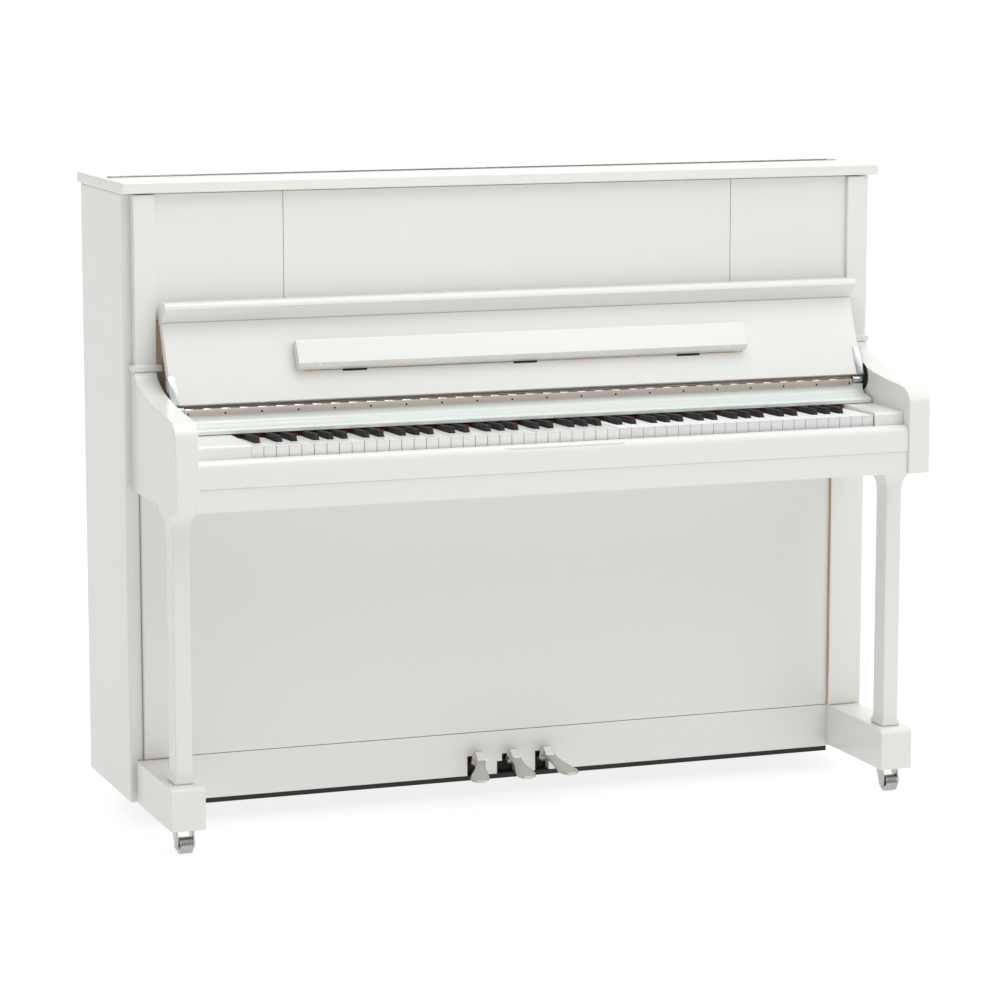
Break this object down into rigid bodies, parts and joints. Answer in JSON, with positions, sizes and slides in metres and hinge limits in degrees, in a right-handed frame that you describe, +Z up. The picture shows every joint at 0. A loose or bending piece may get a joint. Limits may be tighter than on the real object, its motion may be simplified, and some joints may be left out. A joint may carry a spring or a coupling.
{
  "type": "upright piano",
  "caption": "Upright piano with folding lid, folding fallboard and music desk, hinged keys, three pedals and swivelling casters.",
  "frame": {"origin": "on the floor under the middle of the overall width and depth", "axes": "+X to the treble side (the player's right), +Y from the player towards the back, +Z up"},
  "size_m": [1.523, 0.621, 1.2126],
  "materials": {
    "lacquer": "polished white polyester lacquer",
    "ivory": "glossy key covering",
    "ebony": "satin black key",
    "nickel": "polished nickel",
    "hinge_metal": "brushed nickel steel",
    "black_paint": "matt black painted",
    "spruce": "satin varnish",
    "gilt_iron": "bronze-gold paint",
    "beech": "oiled"
  },
  "bodies": {
    "case": {"arm_left": "lacquer", "arm_right": "lacquer", "back_frame": "beech", "bottom_board": "black_paint", "fallboard_hinge": "hinge_metal", "iron_plate": "gilt_iron", "key_bed": "lacquer", "key_block_left": "lacquer", "key_block_right": "lacquer", "key_slip": "lacquer", "leg_left": "lacquer", "leg_right": "lacquer", "lid_hinge": "hinge_metal", "lid_rear": "lacquer", "lower_panel": "lacquer", "lower_pilaster_left": "lacquer", "lower_pilaster_right": "lacquer", "name_board": "lacquer", "pilaster_left": "lacquer", "pilaster_right": "lacquer", "side_panel_left": "lacquer", "side_panel_right": "lacquer", "soundboard": "spruce", "toe_block_left": "lacquer", "toe_block_right": "lacquer", "toe_rail": "lacquer", "upper_panel": "lacquer"},
    "key_c4": {"key_c4": "ivory"},
    "key_c_sharp4": {"key_c_sharp4": "ebony"},
    "key_d4": {"key_d4": "ivory"},
    "key_d_sharp4": {"key_d_sharp4": "ebony"},
    "key_e4": {"key_e4": "ivory"},
    "key_f4": {"key_f4": "ivory"},
    "key_f_sharp4": {"key_f_sharp4": "ebony"},
    "key_g4": {"key_g4": "ivory"},
    "key_g_sharp4": {"key_g_sharp4": "ebony"},
    "key_a4": {"key_a4": "ivory"},
    "key_a_sharp4": {"key_a_sharp4": "ebony"},
    "key_b4": {"key_b4": "ivory"},
    "keys_bass": {"white_keys_bass": "ivory", "black_keys_bass": "ebony"},
    "keys_treble": {"white_keys_treble": "ivory", "black_keys_treble": "ebony"},
    "pedal_left": {"pedal_left": "nickel"},
    "pedal_middle": {"pedal_middle": "nickel"},
    "pedal_right": {"pedal_right": "nickel"},
    "lid_front": {"lid_front": "lacquer"},
    "fallboard": {"fallboard": "lacquer", "fallboard_lip": "lacquer", "fallboard_bracket_left": "nickel", "fallboard_bracket_right": "nickel"},
    "music_desk": {"music_desk": "lacquer"},
    "caster_fork_front_left": {"caster_fork_front_left": "nickel"},
    "caster_wheel_front_left": {"caster_wheel_front_left": "nickel"},
    "caster_fork_front_right": {"caster_fork_front_right": "nickel"},
    "caster_wheel_front_right": {"caster_wheel_front_right": "nickel"},
    "caster_fork_rear_left": {"caster_fork_rear_left": "nickel"},
    "caster_wheel_rear_left": {"caster_wheel_rear_left": "nickel"},
    "caster_fork_rear_right": {"caster_fork_rear_right": "nickel"},
    "caster_wheel_rear_right": {"caster_wheel_rear_right": "nickel"}
  },
  "joints": [
    {"name": "key_c4_press", "type": "hinge", "parent": "case", "child": "key_c4", "pos_m": [-0.03701, -0.0625, 0.724], "axis": [1, 0, 0], "range_deg": [0, 2.6], "stiffness_Nm_per_rad": 8, "springref_deg": -3.44},
    {"name": "key_c_sharp4_press", "type": "hinge", "parent": "case", "child": "key_c_sharp4", "pos_m": [-0.02736, -0.0625, 0.724], "axis": [1, 0, 0], "range_deg": [0, 2.6], "stiffness_Nm_per_rad": 8, "springref_deg": -3.44},
    {"name": "key_d4_press", "type": "hinge", "parent": "case", "child": "key_d4", "pos_m": [-0.01331, -0.0625, 0.724], "axis": [1, 0, 0], "range_deg": [0, 2.6], "stiffness_Nm_per_rad": 8, "springref_deg": -3.44},
    {"name": "key_d_sharp4_press", "type": "hinge", "parent": "case", "child": "key_d_sharp4", "pos_m": [0.00075, -0.0625, 0.724], "axis": [1, 0, 0], "range_deg": [0, 2.6], "stiffness_Nm_per_rad": 8, "springref_deg": -3.44},
    {"name": "key_e4_press", "type": "hinge", "parent": "case", "child": "key_e4", "pos_m": [0.0104, -0.0625, 0.724], "axis": [1, 0, 0], "range_deg": [0, 2.6], "stiffness_Nm_per_rad": 8, "springref_deg": -3.44},
    {"name": "key_f4_press", "type": "hinge", "parent": "case", "child": "key_f4", "pos_m": [0.03411, -0.0625, 0.724], "axis": [1, 0, 0], "range_deg": [0, 2.6], "stiffness_Nm_per_rad": 8, "springref_deg": -3.44},
    {"name": "key_f_sharp4_press", "type": "hinge", "parent": "case", "child": "key_f_sharp4", "pos_m": [0.04257, -0.0625, 0.724], "axis": [1, 0, 0], "range_deg": [0, 2.6], "stiffness_Nm_per_rad": 8, "springref_deg": -3.44},
    {"name": "key_g4_press", "type": "hinge", "parent": "case", "child": "key_g4", "pos_m": [0.05783, -0.0625, 0.724], "axis": [1, 0, 0], "range_deg": [0, 2.6], "stiffness_Nm_per_rad": 8, "springref_deg": -3.44},
    {"name": "key_g_sharp4_press", "type": "hinge", "parent": "case", "child": "key_g_sharp4", "pos_m": [0.06968, -0.0625, 0.724], "axis": [1, 0, 0], "range_deg": [0, 2.6], "stiffness_Nm_per_rad": 8, "springref_deg": -3.44},
    {"name": "key_a4_press", "type": "hinge", "parent": "case", "child": "key_a4", "pos_m": [0.08153, -0.0625, 0.724], "axis": [1, 0, 0], "range_deg": [0, 2.6], "stiffness_Nm_per_rad": 8, "springref_deg": -3.44},
    {"name": "key_a_sharp4_press", "type": "hinge", "parent": "case", "child": "key_a_sharp4", "pos_m": [0.09679, -0.0625, 0.724], "axis": [1, 0, 0], "range_deg": [0, 2.6], "stiffness_Nm_per_rad": 8, "springref_deg": -3.44},
    {"name": "key_b4_press", "type": "hinge", "parent": "case", "child": "key_b4", "pos_m": [0.10525, -0.0625, 0.724], "axis": [1, 0, 0], "range_deg": [0, 2.6], "stiffness_Nm_per_rad": 8, "springref_deg": -3.44},
    {"name": "keys_bass_press", "type": "hinge", "parent": "case", "child": "keys_bass", "pos_m": [-0.32154, -0.0625, 0.724], "axis": [1, 0, 0], "range_deg": [0, 2.6], "stiffness_Nm_per_rad": 120, "springref_deg": -3.44},
    {"name": "keys_treble_press", "type": "hinge", "parent": "case", "child": "keys_treble", "pos_m": [0.37791, -0.0625, 0.724], "axis": [1, 0, 0], "range_deg": [0, 2.6], "stiffness_Nm_per_rad": 120, "springref_deg": -3.44},
    {"name": "pedal_left_press", "type": "hinge", "parent": "case", "child": "pedal_left", "pos_m": [-0.0715, 0.0875, 0.068], "axis": [1, 0, 0], "range_deg": [0, 5], "stiffness_Nm_per_rad": 40, "springref_deg": -4.58},
    {"name": "pedal_middle_press", "type": "hinge", "parent": "case", "child": "pedal_middle", "pos_m": [0, 0.0875, 0.068], "axis": [1, 0, 0], "range_deg": [0, 5], "stiffness_Nm_per_rad": 40, "springref_deg": -4.58},
    {"name": "pedal_right_press", "type": "hinge", "parent": "case", "child": "pedal_right", "pos_m": [0.0687, 0.0875, 0.068], "axis": [1, 0, 0], "range_deg": [0, 5], "stiffness_Nm_per_rad": 40, "springref_deg": -4.58},
    {"name": "lid_front_fold", "type": "hinge", "parent": "case", "child": "lid_front", "pos_m": [0, 0.1323, 1.2106], "axis": [-1, 0, 0], "range_deg": [0, 178]},
    {"name": "fallboard_close", "type": "hinge", "parent": "case", "child": "fallboard", "pos_m": [0, -0.1105, 0.799], "axis": [-1, 0, 0], "range_deg": [-116.5, 0]},
    {"name": "music_desk_fold", "type": "hinge", "parent": "fallboard", "child": "music_desk", "pos_m": [0, -0.09171, 0.86121], "axis": [1, 0, 0], "range_deg": [0, 90]},
    {"name": "caster_swivel_front_left", "type": "hinge", "parent": "case", "child": "caster_fork_front_left", "pos_m": [-0.712, -0.2105, 0.0487], "axis": [0, 0, 1], "continuous": true},
    {"name": "caster_roll_front_left", "type": "hinge", "parent": "caster_fork_front_left", "child": "caster_wheel_front_left", "pos_m": [-0.712, -0.2225, 0.016], "axis": [1, 0, 0], "continuous": true},
    {"name": "caster_swivel_front_right", "type": "hinge", "parent": "case", "child": "caster_fork_front_right", "pos_m": [0.712, -0.2105, 0.0487], "axis": [0, 0, 1], "continuous": true},
    {"name": "caster_roll_front_right", "type": "hinge", "parent": "caster_fork_front_right", "child": "caster_wheel_front_right", "pos_m": [0.712, -0.2225, 0.016], "axis": [1, 0, 0], "continuous": true},
    {"name": "caster_swivel_rear_left", "type": "hinge", "parent": "case", "child": "caster_fork_rear_left", "pos_m": [-0.6, 0.2575, 0.0487], "axis": [0, 0, 1], "continuous": true},
    {"name": "caster_roll_rear_left", "type": "hinge", "parent": "caster_fork_rear_left", "child": "caster_wheel_rear_left", "pos_m": [-0.6, 0.2455, 0.016], "axis": [1, 0, 0], "continuous": true},
    {"name": "caster_swivel_rear_right", "type": "hinge", "parent": "case", "child": "caster_fork_rear_right", "pos_m": [0.6, 0.2575, 0.0487], "axis": [0, 0, 1], "continuous": true},
    {"name": "caster_roll_rear_right", "type": "hinge", "parent": "caster_fork_rear_right", "child": "caster_wheel_rear_right", "pos_m": [0.6, 0.2455, 0.016], "axis": [1, 0, 0], "continuous": true}
  ]
}
